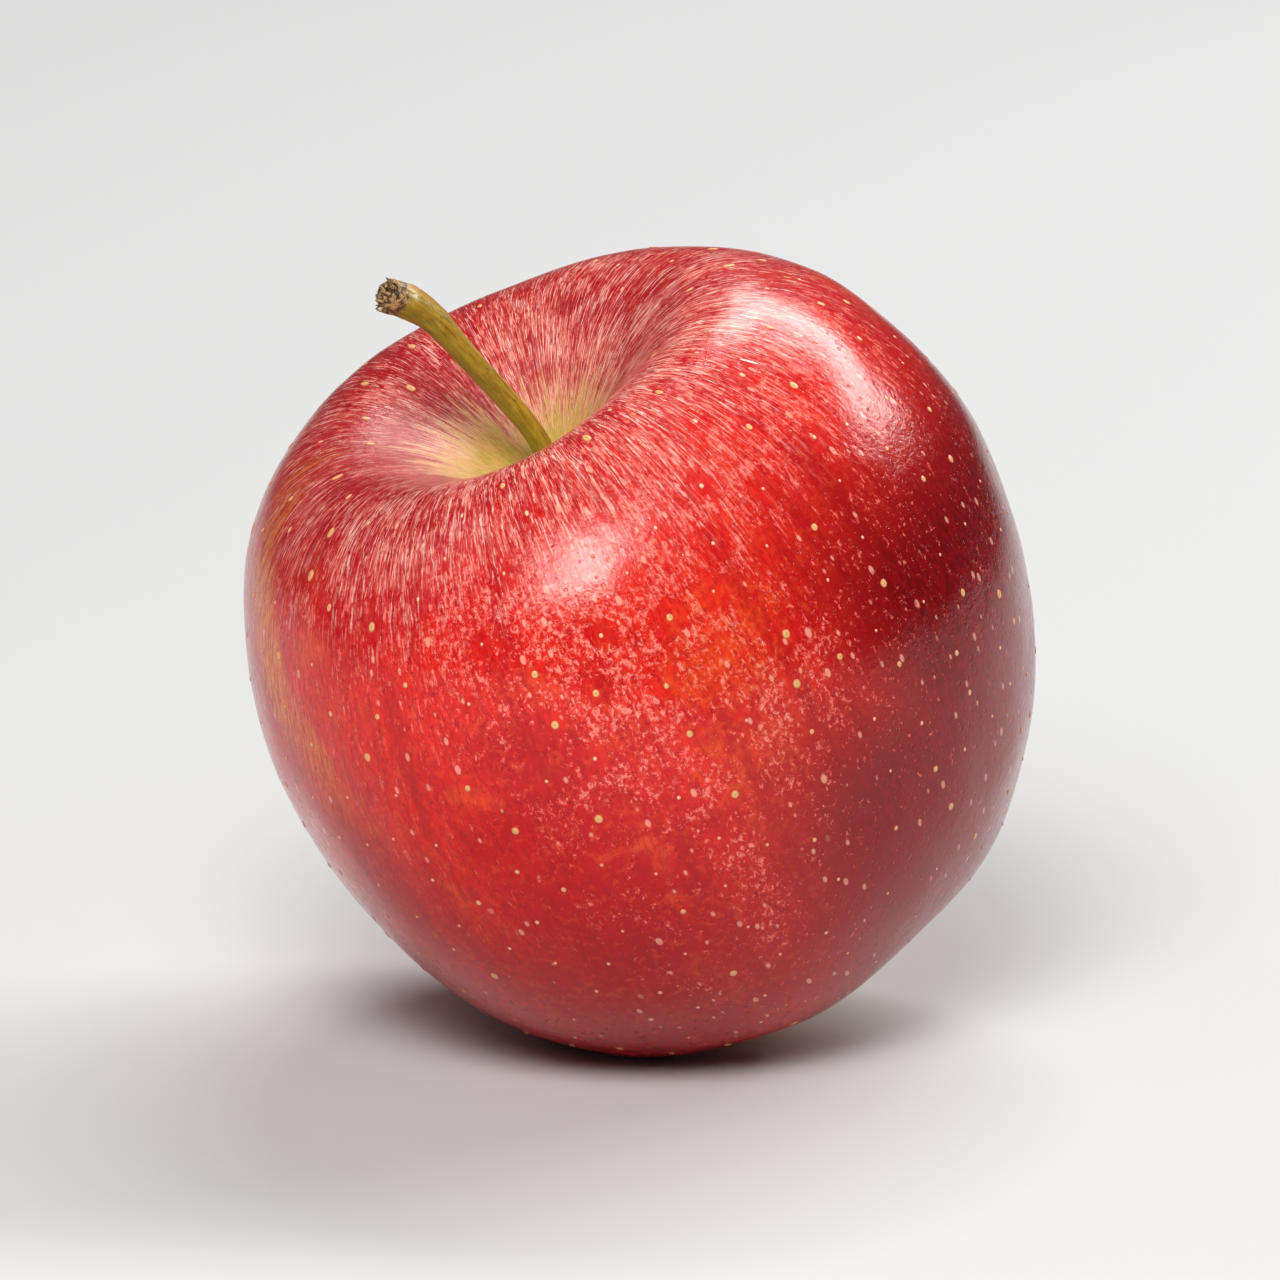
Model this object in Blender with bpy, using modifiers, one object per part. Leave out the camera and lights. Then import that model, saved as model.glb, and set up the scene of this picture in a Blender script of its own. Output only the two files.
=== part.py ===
"""A ripe red dessert apple with its stem and the dried calyx under it.

The apple is modelled upright on its own axis. The axis then leans, and the fruit rests on a small flat
spot on the outer side of one of its five basal lobes, as a lopsided apple settles on a table.
"""

import math

import bmesh
import bpy
import numpy as np
from mathutils import Matrix, Vector

MM = 0.001

# The fruit: its outline runs from the stem cavity over the shoulder and the cheek to the calyx basin, as
# fractions of the widest radius and of the height up to the shoulder's top.
FRUIT_RADIUS = 36.5 * MM
FRUIT_HEIGHT = 65.3 * MM
FRUIT_OUTLINE = (
    (0.000, 0.811),
    (0.097, 0.844),
    (0.202, 0.904),
    (0.350, 0.970),
    (0.524, 1.000),
    (0.712, 0.962),
    (0.890, 0.846),
    (1.000, 0.653),
    (0.995, 0.443),
    (0.887, 0.243),
    (0.699, 0.089),
    (0.524, 0.017),
    (0.390, 0.000),
    (0.255, 0.039),
    (0.134, 0.093),
    (0.000, 0.108),
)
FRUIT_SEGMENTS = 72
FRUIT_RINGS = 48

# Its cross-section is not round: each wave has a count, a share of the radius and an azimuth.
SECTION_WAVES = (
    (2, 0.013, math.radians(52)),
    (3, 0.031, math.radians(15)),
)

# Five lobes crown the base, with shallow valleys between them.
LOBES = 5
LOBE_AZIMUTH = math.radians(62)
VALLEY_DEPTH = 1.1 * MM
CROWN_RADIUS = 0.42 * FRUIT_RADIUS
CROWN_WIDTH = 0.20 * FRUIT_RADIUS

# The resting attitude: how far the axis leans, towards which side, and how deep the flat spot is.
LEAN = math.radians(27.4)
LEAN_AZIMUTH = math.radians(208.4)
FLAT_SPOT_DEPTH = 1.2 * MM

# The stem: points up its middle on the fruit's axis frame, each with its radius there, in millimetres.
STEM_ROUTE = (
    (0.3, 0.0, 51.0, 1.15),
    (0.3, 0.0, 54.5, 1.12),
    (0.2, 0.0, 59.5, 1.10),
    (-0.7, -0.1, 64.1, 1.18),
    (-1.8, -0.6, 68.9, 1.28),
    (-3.1, -1.3, 74.4, 1.45),
    (-4.4, -2.2, 77.7, 1.80),
    (-5.8, -3.2, 79.8, 2.25),
)
STEM_STATIONS = 18
SOCKET_GAP = 0.3 * MM

# The sepals: five small dried leaves that close over the eye of the calyx and curl back at their tips.
SEPALS = 5
SEPAL_ROUTE = (
    (2.9, 6.2),
    (3.0, 5.0),
    (2.5, 4.1),
    (1.9, 3.3),
    (1.8, 2.4),
    (2.5, 1.6),
    (3.5, 1.4),
)
SEPAL_WIDTH = 2.7 * MM
SEPAL_TIP_WIDTH = 0.5 * MM
SEPAL_THICKNESS = 0.4 * MM
SEPAL_CUP = 0.35 * MM
SEPAL_SPREAD = 0.14


def clear_scene():
    for thing in list(bpy.data.objects):
        bpy.data.objects.remove(thing, do_unlink=True)


def new_collection(name):
    collection = bpy.data.collections.new(name)
    bpy.context.scene.collection.children.link(collection)
    return collection


def principled(name, colour, roughness):
    material = bpy.data.materials.new(name)
    material.use_nodes = True
    shader = material.node_tree.nodes["Principled BSDF"]
    shader.inputs["Base Color"].default_value = (*colour, 1.0)
    shader.inputs["Roughness"].default_value = roughness
    shader.inputs["Metallic"].default_value = 0.0
    return material


def smooth_line(points, count):
    """Evenly spaced points on a Catmull-Rom curve through the given ones."""
    knots = np.asarray(points, dtype=float)
    before = 2 * knots[0] - knots[1]
    after = 2 * knots[-1] - knots[-2]
    knots = np.vstack([before, knots, after])
    steps = np.linspace(0, 1, 24, endpoint=False)[:, None]
    spans = []
    for a, b, c, d in zip(knots, knots[1:], knots[2:], knots[3:]):
        spans.append(0.5 * (2 * b + (c - a) * steps + (2 * a - 5 * b + 4 * c - d) * steps**2
                            + (3 * b - a - 3 * c + d) * steps**3))
    line = np.vstack(spans + [knots[-2][None]])
    lengths = np.linalg.norm(np.diff(line, axis=0), axis=1)
    travelled = np.concatenate([[0], np.cumsum(lengths)])
    wanted = np.linspace(0, travelled[-1], count)
    return np.stack([np.interp(wanted, travelled, column) for column in line.T], axis=1)


def fruit_outline():
    """The outline in metres, evenly spaced, level where it crosses the axis at both ends."""
    points = [(radius * FRUIT_RADIUS, height * FRUIT_HEIGHT) for radius, height in FRUIT_OUTLINE]
    mirrored_start = (-points[1][0], points[1][1])
    mirrored_end = (-points[-2][0], points[-2][1])
    line = smooth_line([mirrored_start, *points, mirrored_end], 2000)
    inside = line[line[:, 0] >= 0]
    inside[0][0] = 0
    inside[-1][0] = 0
    keep = np.linspace(0, len(inside) - 1, FRUIT_RINGS + 1).round().astype(int)
    return inside[keep]


def skin_point(radius, height, azimuth):
    """Where the point of the outline lies on the skin at this azimuth."""
    spread = 1.0
    for count, share, start in SECTION_WAVES:
        spread += share * math.cos(count * (azimuth - start))
    between_lobes = 0.5 - 0.5 * math.cos(LOBES * (azimuth - LOBE_AZIMUTH))
    crown = math.exp(-((radius - CROWN_RADIUS) / CROWN_WIDTH) ** 2)
    low = max(0.0, 1 - 2 * height / FRUIT_HEIGHT)
    lift = VALLEY_DEPTH * between_lobes * crown * low
    return Vector((radius * spread * math.cos(azimuth), radius * spread * math.sin(azimuth), height + lift))


def add_piece(name, mesh, material, collection, axis):
    piece = bpy.data.objects.new(name, mesh)
    collection.objects.link(piece)
    piece.parent = axis
    mesh.materials.append(material)
    mesh.shade_smooth()
    return piece


def add_fruit(collection, axis):
    """The fruit: a sphere whose rings are laid along the outline."""
    outline = fruit_outline()
    shape = bmesh.new()
    bmesh.ops.create_uvsphere(shape, u_segments=FRUIT_SEGMENTS, v_segments=FRUIT_RINGS, radius=1.0)
    for vertex in shape.verts:
        polar = math.acos(max(-1.0, min(1.0, vertex.co.z)))
        radius, height = outline[round(polar / math.pi * FRUIT_RINGS)]
        azimuth = math.atan2(vertex.co.y, vertex.co.x)
        vertex.co = skin_point(radius, height, azimuth)
    mesh = bpy.data.meshes.new("fruit")
    shape.to_mesh(mesh)
    shape.free()
    return add_piece("fruit", mesh, principled("apple_skin", (0.55, 0.02, 0.025), 0.3), collection, axis)


def add_stem(collection, axis):
    """The stem: a round bar that thickens towards its broken end."""
    curve = bpy.data.curves.new("stem", "CURVE")
    curve.dimensions = "3D"
    curve.bevel_depth = MM
    curve.bevel_resolution = 4
    curve.use_fill_caps = True
    spline = curve.splines.new("POLY")
    spline.points.add(STEM_STATIONS - 1)
    for point, (x, y, z, radius) in zip(spline.points, smooth_line(STEM_ROUTE, STEM_STATIONS)):
        point.co = (x * MM, y * MM, z * MM, 1.0)
        point.radius = radius
    stem = bpy.data.objects.new("stem", curve)
    collection.objects.link(stem)
    stem.parent = axis
    curve.materials.append(principled("apple_stem", (0.25, 0.22, 0.04), 0.6))
    return stem


def add_sepal(index, material, collection, axis):
    """A sepal: a tapering strip bent along its route, thickened afterwards."""
    curl = 1 + SEPAL_SPREAD * math.sin(2.4 * index)
    base_radius, base_height = SEPAL_ROUTE[0]
    route = [(base_radius + (radius - base_radius) * curl, base_height + (height - base_height) * curl)
             for radius, height in SEPAL_ROUTE]
    rows = 8
    line = smooth_line(route, rows + 1) * MM
    strip = bmesh.new()
    bmesh.ops.create_grid(strip, x_segments=rows, y_segments=4, size=0.5)
    for vertex in strip.verts:
        along = vertex.co.x + 0.5
        across = 2 * vertex.co.y
        radius, height = line[round(along * rows)]
        half_width = 0.5 * (SEPAL_TIP_WIDTH + (SEPAL_WIDTH - SEPAL_TIP_WIDTH) * (1 - along**1.2))
        cup = SEPAL_CUP * (1 - along) * across**2
        vertex.co = (radius - cup, across * half_width, height)
    bmesh.ops.recalc_face_normals(strip, faces=strip.faces)
    name = f"sepal_{index + 1}"
    mesh = bpy.data.meshes.new(name)
    strip.to_mesh(mesh)
    strip.free()
    sepal = add_piece(name, mesh, material, collection, axis)
    sepal.rotation_euler = (0, 0, LOBE_AZIMUTH + (index + 0.5) * math.tau / SEPALS)
    thicken = sepal.modifiers.new("thickness", "SOLIDIFY")
    thicken.thickness = SEPAL_THICKNESS
    thicken.offset = 0.0
    return sepal


def cut_with(piece, cutter, cutters):
    for collection in cutter.users_collection:
        collection.objects.unlink(cutter)
    cutters.objects.link(cutter)
    cutter.hide_render = True
    cutter.display_type = "WIRE"
    cut = piece.modifiers.new(f"cut_{cutter.name}", "BOOLEAN")
    cut.operation = "DIFFERENCE"
    cut.object = cutter


def cut_stem_socket(fruit, axis, cutters):
    """The hole at the bottom of the stem cavity that the stem's foot stands in."""
    foot_x, foot_y, foot_z, foot_radius = (value * MM for value in STEM_ROUTE[0])
    bottom = foot_z - SOCKET_GAP
    depth = FRUIT_OUTLINE[1][1] * FRUIT_HEIGHT - bottom
    bpy.ops.mesh.primitive_cylinder_add(vertices=24, radius=foot_radius + SOCKET_GAP, depth=depth)
    socket = bpy.context.object
    socket.name = "stem_socket"
    socket.parent = axis
    socket.location = (foot_x, foot_y, bottom + depth / 2)
    cut_with(fruit, socket, cutters)


def cut_flat_spot(fruit, cutters):
    """The flat spot: what would lie below the table is cut off."""
    size = 4 * FRUIT_RADIUS
    bpy.ops.mesh.primitive_cube_add(size=size, location=(0, 0, -size / 2))
    table = bpy.context.object
    table.name = "table_below_flat_spot"
    cut_with(fruit, table, cutters)


def leaning_points(piece, lean):
    depsgraph = bpy.context.evaluated_depsgraph_get()
    mesh = bpy.data.meshes.new_from_object(piece.evaluated_get(depsgraph))
    turned = lean @ Matrix.Rotation(piece.rotation_euler.z, 4, "Z")
    points = np.array([turned @ vertex.co for vertex in mesh.vertices])
    bpy.data.meshes.remove(mesh)
    return points


def settle(axis, pieces):
    """Lean the axis and stand the fruit on its flat spot, with the whole apple centred over the origin."""
    lean_axis = Vector((-math.sin(LEAN_AZIMUTH), math.cos(LEAN_AZIMUTH), 0))
    lean = Matrix.Rotation(LEAN, 4, lean_axis)
    points = np.vstack([leaning_points(piece, lean) for piece in pieces])
    middle = (points.min(axis=0) + points.max(axis=0)) / 2
    drop = points[:, 2].min() + FLAT_SPOT_DEPTH
    axis.matrix_world = Matrix.Translation((-middle[0], -middle[1], -drop)) @ lean


def main():
    clear_scene()
    apple = new_collection("apple")
    cutters = new_collection("cutters")
    axis = bpy.data.objects.new("apple_axis", None)
    apple.objects.link(axis)
    fruit = add_fruit(apple, axis)
    stem = add_stem(apple, axis)
    dried_leaf = principled("dried_sepal", (0.11, 0.075, 0.045), 0.9)
    sepals = [add_sepal(index, dried_leaf, apple, axis) for index in range(SEPALS)]
    settle(axis, [fruit, stem, *sepals])
    cut_stem_socket(fruit, axis, cutters)
    cut_flat_spot(fruit, cutters)


main()
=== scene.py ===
"""A ripe red dessert apple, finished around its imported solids: skin, lenticels, stem, calyx and studio."""

import math

import bmesh
import bpy
import numpy as np
from mathutils import Matrix, Quaternion, Vector, noise


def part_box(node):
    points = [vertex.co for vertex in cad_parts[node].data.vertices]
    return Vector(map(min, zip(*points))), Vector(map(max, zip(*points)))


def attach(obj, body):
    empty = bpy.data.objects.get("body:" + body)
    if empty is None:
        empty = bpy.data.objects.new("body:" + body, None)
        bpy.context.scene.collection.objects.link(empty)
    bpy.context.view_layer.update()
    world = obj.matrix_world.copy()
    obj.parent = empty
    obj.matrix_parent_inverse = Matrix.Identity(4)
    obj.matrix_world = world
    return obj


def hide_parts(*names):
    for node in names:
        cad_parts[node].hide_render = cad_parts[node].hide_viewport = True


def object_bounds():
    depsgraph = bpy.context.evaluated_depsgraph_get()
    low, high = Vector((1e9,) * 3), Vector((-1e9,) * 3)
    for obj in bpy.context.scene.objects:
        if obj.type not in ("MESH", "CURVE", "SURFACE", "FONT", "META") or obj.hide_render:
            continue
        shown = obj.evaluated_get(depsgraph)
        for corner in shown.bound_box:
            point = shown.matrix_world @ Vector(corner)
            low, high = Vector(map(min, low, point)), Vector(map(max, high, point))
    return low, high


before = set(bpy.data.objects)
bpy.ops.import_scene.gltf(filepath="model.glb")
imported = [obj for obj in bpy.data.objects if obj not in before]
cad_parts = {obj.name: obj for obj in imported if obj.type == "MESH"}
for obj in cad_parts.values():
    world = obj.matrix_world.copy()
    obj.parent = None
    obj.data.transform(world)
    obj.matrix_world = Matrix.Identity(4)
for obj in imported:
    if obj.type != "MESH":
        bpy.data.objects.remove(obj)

cad_box = [list(corner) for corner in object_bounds()]
MM = 0.001


# ---- Skin's finish ----------------------------------------------------------------------------------------
# Apple skin is a thin waxed layer of cells. Red pigment lies over a yellow-green ground, torn by growth into
# pale flecks that run out of the stem cavity as strokes and break into a speckle lower down the cheeks.


def add(tree, kind, inputs=None, **settings):
    """A node with its settings, and its inputs by name or number, each a value or another node's socket."""
    made = tree.nodes.new(kind)
    for key, value in settings.items():
        setattr(made, key, value)
    for key, value in (inputs or {}).items():
        socket = made.inputs[key]
        if isinstance(value, bpy.types.NodeSocket):
            tree.links.new(value, socket)
        else:
            socket.default_value = value
    return made


def home(*values):
    """The node tree that the sockets among the values belong to."""
    return next(value.id_data for value in values if isinstance(value, bpy.types.NodeSocket))


def maths(operation, *values, clamp=False):
    inputs = dict(enumerate(values))
    return add(home(*values), "ShaderNodeMath", inputs, operation=operation, use_clamp=clamp).outputs[0]


def times(first, *others):
    for other in others:
        first = maths("MULTIPLY", first, other)
    return first


def plus(first, *others):
    for other in others:
        first = maths("ADD", first, other)
    return first


def less(value, taken):
    return maths("SUBTRACT", value, taken)


def without(share):
    return maths("SUBTRACT", 1.0, share, clamp=True)


def swing(share, reach):
    """A share from 0 to 1 as a swing about nothing, half the reach either way."""
    return times(less(share, 0.5), reach)


def vectors(operation, *values):
    """Vector maths. What comes out is a vector, or a number where the operation measures one."""
    made = add(home(*values), "ShaderNodeVectorMath", dict(enumerate(values)), operation=operation)
    return made.outputs["Value" if operation in ("DISTANCE", "DOT_PRODUCT", "LENGTH") else "Vector"]


def scaled(vector, factor):
    inputs = {0: vector, "Scale": factor}
    return add(home(vector), "ShaderNodeVectorMath", inputs, operation="SCALE").outputs[0]


def compose(**parts):
    """A vector from its X, Y and Z, where one left out is 0."""
    return add(home(*parts.values()), "ShaderNodeCombineXYZ", parts).outputs[0]


def part(vector, axis):
    return add(home(vector), "ShaderNodeSeparateXYZ", {0: vector}).outputs[axis]


def stored(tree, name, output="Vector"):
    """What the mesh holds under a name, as a vector, or as a number from the output Fac."""
    return add(tree, "ShaderNodeAttribute", attribute_name=name).outputs[output]


def ramp(value, low, high, start=0.0, end=1.0):
    """A soft step from start to end as the value goes from low to high."""
    return add(home(value), "ShaderNodeMapRange", {
        "Value": value, "From Min": low, "From Max": high, "To Min": start, "To Max": end},
        interpolation_type="SMOOTHSTEP").outputs[0]


def grain(place, scale, detail=2.0, roughness=0.5, distortion=0.0):
    """Cloudy noise from 0 to 1, with so many cells to the metre."""
    return add(home(place), "ShaderNodeTexNoise", {
        "Vector": place, "Scale": scale, "Detail": detail, "Roughness": roughness,
        "Distortion": distortion}).outputs[0]


def stretched(place, factors, shift=(0, 0, 0)):
    inputs = {"Vector": place, "Location": shift, "Scale": factors}
    return add(home(place), "ShaderNodeMapping", inputs).outputs[0]


def turned_about(place, axis, angle):
    inputs = {"Vector": place, "Center": (0, 0, 0), "Axis": axis, "Angle": angle}
    return add(home(place), "ShaderNodeVectorRotate", inputs).outputs[0]


def tint(share, under, over, mode="MIX"):
    """One colour laid over another, each a colour or a socket."""
    mixed = add(home(share), "ShaderNodeMix", {0: share}, data_type="RGBA", blend_type=mode)
    for index, colour in ((6, under), (7, over)):
        if isinstance(colour, bpy.types.NodeSocket):
            home(share).links.new(colour, mixed.inputs[index])
        else:
            mixed.inputs[index].default_value = (*colour, 1.0)
    return mixed.outputs[2]


def bump(height, distance, **more):
    inputs = {"Strength": 1.0, "Distance": distance, "Height": height, **more}
    return add(home(height), "ShaderNodeBump", inputs).outputs[0]


def new_material(name, **constants):
    """A material whose shader holds the given constants, with underscores for the spaces in socket names."""
    material = bpy.data.materials.new(name)
    material.use_nodes = True
    shader = material.node_tree.nodes["Principled BSDF"]
    for key, value in constants.items():
        shader.inputs[key.replace("_", " ")].default_value = value
    return material, material.node_tree, shader


FRUIT_RADIUS = 36.5 * MM
MAROON = (0.155, 0.0010, 0.0045)
DEEP_RED = (0.33, 0.0022, 0.0075)
CHERRY_RED = (0.56, 0.0060, 0.0095)
BRIGHT_RED = (0.74, 0.0165, 0.0120)
ORANGE_RED = (0.80, 0.075, 0.016)
ORANGE = (0.84, 0.24, 0.030)
YELLOW = (0.78, 0.47, 0.085)
YELLOW_GREEN = (0.43, 0.345, 0.036)
CREAM = (0.78, 0.53, 0.27)
FLECK_RED = (0.78, 0.085, 0.065)
FLECK_PINK = (0.87, 0.27, 0.205)
STROKE_PINK = (0.84, 0.30, 0.24)
BLOOM_AND_SHEEN_MAUVE = (0.60, 0.060, 0.075)
RUSSET = (0.33, 0.18, 0.045)
PAINTED_LIGHT_SCARLET = (0.86, 0.030, 0.014)
SHADE_OXBLOOD = (0.115, 0.0005, 0.0026)
APRICOT = (0.82, 0.115, 0.020)
AMBER = (0.80, 0.26, 0.036)
STRAND_DARK = (0.34, 0.006, 0.016)
STRAND_PINK = (0.76, 0.17, 0.135)
STRAND_PALE = (0.92, 0.56, 0.45)
HAIR_PALE = (0.92, 0.60, 0.49)
HAIR_DARK = (0.26, 0.006, 0.012)
PRICK_PINK = (0.88, 0.38, 0.27)
PORE_SHADE_RED = (0.26, 0.002, 0.007)
SCRATCH_WHITE = (0.93, 0.84, 0.70)
RIM_SHADE = (0.74, 0.56, 0.56)
CAVITY_GOLD = (0.60, 0.37, 0.085)
CAVITY_TAN = (0.62, 0.39, 0.12)
CAVITY_BROWN = (0.34, 0.20, 0.030)
CAVITY_RUST = (0.50, 0.16, 0.045)
CAVITY_STRAW = (0.74, 0.62, 0.28)
CAVITY_RED = (0.60, 0.10, 0.055)
BASIN_TAN = (0.66, 0.27, 0.055)
BASIN_GREEN = (0.56, 0.40, 0.085)
STRIPE_AZIMUTH = 190
SCRATCH_AZIMUTH = math.radians(-25)
SCRATCH_DEPTH = 31 * MM
SCRATCH_TURN = math.radians(16)
SCRATCH_HALF_LENGTH = 0.85 * MM
SCRATCH_HALF_WIDTH = 0.17 * MM


def skin_material():
    material, tree, shader = new_material(
        "apple_skin", IOR=1.39, Specular_Tint=(1.0, 0.77, 0.73, 1.0), Coat_Weight=0.12, Coat_Roughness=0.07)
    flow = stored(tree, "flow")
    upright = stored(tree, "upright")
    from_lenticel = stored(tree, "from_lenticel", "Fac")
    down = part(flow, "Z")

    def cosine_from(place, azimuth):
        """The cosine of the angle round the fruit from an azimuth to a place on the skin."""
        turn = math.radians(azimuth)
        toward = (math.cos(turn) / FRUIT_RADIUS, math.sin(turn) / FRUIT_RADIUS, 0)
        return vectors("DOT_PRODUCT", place, toward)

    def facing(azimuth, half_width, feather):
        """How far the skin faces an azimuth of the fruit, from 0 outside the width to 1 within it."""
        outer = math.cos(math.radians(half_width + feather))
        return ramp(cosine_from(flow, azimuth), outer, math.cos(math.radians(half_width)))

    def spot(azimuth, radius, height, size):
        """How near the skin is to a place on the fruit: 1 at its middle, 0 past its ragged edge."""
        turn = math.radians(azimuth)
        centre = (radius * math.cos(turn), radius * math.sin(turn), height)
        off = plus(vectors("DISTANCE", upright, centre), swing(patches, -1.6 * size))
        return ramp(plus(off, swing(freckle, -1.2 * size)), size, 0.2 * size)

    # Broad, slow changes over the fruit: clouds of pigment, and stripes that follow the meridians.
    clouds = grain(upright, 70, 2, 0.55, 0.4)
    patches = grain(stretched(upright, (1, 1, 1), (0.13, 0.07, 0.02)), 190, 3, 0.6, 0.6)
    stripes = grain(stretched(flow, (1, 1, 0.12)), 250, 3, 0.6, 0.2)
    fine_stripes = grain(stretched(flow, (1, 1, 0.05), (0.3, 0.1, 0)), 760, 2, 0.6)
    freckle = grain(upright, 1150, 3, 0.65)
    fine_grain = grain(stretched(flow, (1, 1, 0.35)), 2100, 3, 0.7, 0.6)

    # The flecks' grain: a speckle on the cheeks, and strokes and hairs along the meridians on the shoulder.
    speckle = grain(stretched(upright, (1, 1, 0.72)), 2050, 4, 0.76, 0.35)
    strokes = grain(stretched(flow, (1, 1, 0.17)), 2700, 4, 0.70, 0.6)
    hairs = grain(stretched(flow, (1, 1, 0.12), (0.2, 0.4, 0)), 2900, 3, 0.64, 0.7)
    shoulder = ramp(plus(down, swing(clouds, 16 * MM)), 44 * MM, 25 * MM)
    rim_side = times(facing(-28, 34, 26), ramp(down, 56 * MM, 42 * MM))
    left_side = facing(-152, 30, 26)
    brushed = maths("MAXIMUM", shoulder, times(maths("MAXIMUM", rim_side, left_side), 0.6))
    torn = add(tree, "ShaderNodeMix", {0: brushed, 2: speckle, 3: strokes}, data_type="FLOAT").outputs[0]

    # Painted shade: towards the lower right, where the fruit lies in shade, the red is painted deepest.
    painted_shade_side = maths("MAXIMUM", times(facing(-3, 32, 30), ramp(down, 34 * MM, 58 * MM)),
                      times(facing(-14, 42, 30), ramp(down, 50 * MM, 74 * MM)))
    painted_shade_low = ramp(down, 58 * MM, 84 * MM)
    red = tint(ramp(clouds, 0.38, 0.62), CHERRY_RED, BRIGHT_RED)
    red = tint(times(ramp(patches, 0.54, 0.72), 0.7, without(painted_shade_side)), red, ORANGE_RED)
    # Painted light: a brighter scarlet on the right of the front, where more light would fall.
    painted_light_side = times(facing(-50, 20, 28), ramp(down, 68 * MM, 42 * MM))
    red = tint(times(painted_light_side, 0.6), red, PAINTED_LIGHT_SCARLET)
    red = tint(times(ramp(stripes, 0.50, 0.66), 0.40), red, DEEP_RED)
    red = tint(times(ramp(fine_stripes, 0.54, 0.70), 0.16), red, DEEP_RED)
    # Painted shade: oxblood laid over the shaded lower right.
    red = tint(times(painted_shade_side, 0.95), red, SHADE_OXBLOOD)
    # Painted shade: the red is painted darker low on the cheeks.
    red = tint(times(painted_shade_low, 0.62), red, DEEP_RED)
    red = tint(ramp(fine_grain, 0.44, 0.60, 0.0, 0.45), red, DEEP_RED)
    red = tint(times(ramp(freckle, 0.52, 0.66, 0.0, 0.30), without(painted_shade_side)), red, ORANGE_RED)
    # Mauve over the shoulder: partly the wax bloom, partly a painted sheen.
    red = tint(times(shoulder, ramp(freckle, 0.35, 0.6), 0.5), red, BLOOM_AND_SHEEN_MAUVE)

    # Where the pigment is thin the ground shows: mottled warm spots, one yellow stripe and the far side.
    warm = maths("MAXIMUM", times(spot(-68, 36.2 * MM, 46 * MM, 9.0 * MM), 0.22),
                 times(spot(-71, 36.0 * MM, 37 * MM, 6.5 * MM), 0.2))
    red = tint(times(warm, ramp(freckle, 0.38, 0.60, 0.35, 1.0)), red, APRICOT)
    slant = turned_about(flow, (0, 0, 1), times(less(down, 32 * MM), -24.0))
    at_stripe = plus(cosine_from(slant, STRIPE_AZIMUTH), maths("MULTIPLY_ADD", strokes, 0.020, -0.010),
                     maths("MULTIPLY_ADD", stripes, 0.030, -0.015))
    stripe = times(ramp(at_stripe, math.cos(math.radians(9.5)), math.cos(math.radians(2))),
                   ramp(down, 17 * MM, 26 * MM), ramp(down, 60 * MM, 40 * MM))
    red = tint(times(stripe, ramp(strokes, 0.42, 0.56, 0.15, 1.0), ramp(speckle, 0.40, 0.54, 0.6, 1.0)),
               red, AMBER)
    shaded = times(facing(92, 34, 44), ramp(down, 26 * MM, 50 * MM), ramp(down, 116 * MM, 92 * MM))
    bare = plus(times(patches, 0.30), times(stripes, 0.45), times(fine_stripes, 0.35), times(strokes, 0.35),
                times(clouds, 0.30))
    red = tint(times(shaded, ramp(bare, 0.76, 0.98), 0.75), red, ORANGE_RED)
    red = tint(times(shaded, ramp(bare, 0.86, 1.06), 0.70), red, ORANGE)
    red = tint(times(shaded, ramp(bare, 0.96, 1.16), 0.65), red, YELLOW)

    # How much of the skin the flecks take: none by a lenticel or on the solid patches, most on the shoulder.
    off_lenticel = plus(from_lenticel, swing(freckle, 2.4 * MM), swing(clouds, 3.0 * MM))
    island = ramp(off_lenticel, 0.5 * MM, 1.9 * MM, 0.12, 1.0)
    density = plus(ramp(clouds, 0.36, 0.60, 0.34, 0.60), ramp(patches, 0.34, 0.60, 0.24, -0.12))
    density = plus(density, ramp(stripes, 0.48, 0.66, 0.08, -0.28), times(shoulder, 0.16))
    density = plus(density, times(facing(-96, 24, 26), ramp(down, 60 * MM, 36 * MM), 0.20))
    density = plus(density, times(facing(-44, 26, 30), ramp(down, 66 * MM, 34 * MM), 0.46))
    density = maths("MINIMUM", density, 0.80)
    density = times(density, without(times(painted_shade_side, 0.58)), island)
    density = times(density, without(times(left_side, ramp(down, 30 * MM, 52 * MM), 0.35)))
    density = times(density, ramp(down, 96 * MM, 58 * MM, 0.50, 1.0))
    cut_off = maths("MULTIPLY_ADD", density, -0.24, 0.69)
    over = less(torn, cut_off)
    fleck = ramp(over, -0.030, 0.040)
    fleck_colour = tint(ramp(over, 0.0, 0.13), FLECK_RED, FLECK_PINK)
    fleck_colour = tint(times(shoulder, ramp(hairs, 0.42, 0.60)), fleck_colour, STROKE_PINK)
    fleck_colour = tint(times(warm, 0.45), fleck_colour, YELLOW)
    skin = tint(times(fleck, 0.88), red, fleck_colour)

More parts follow.
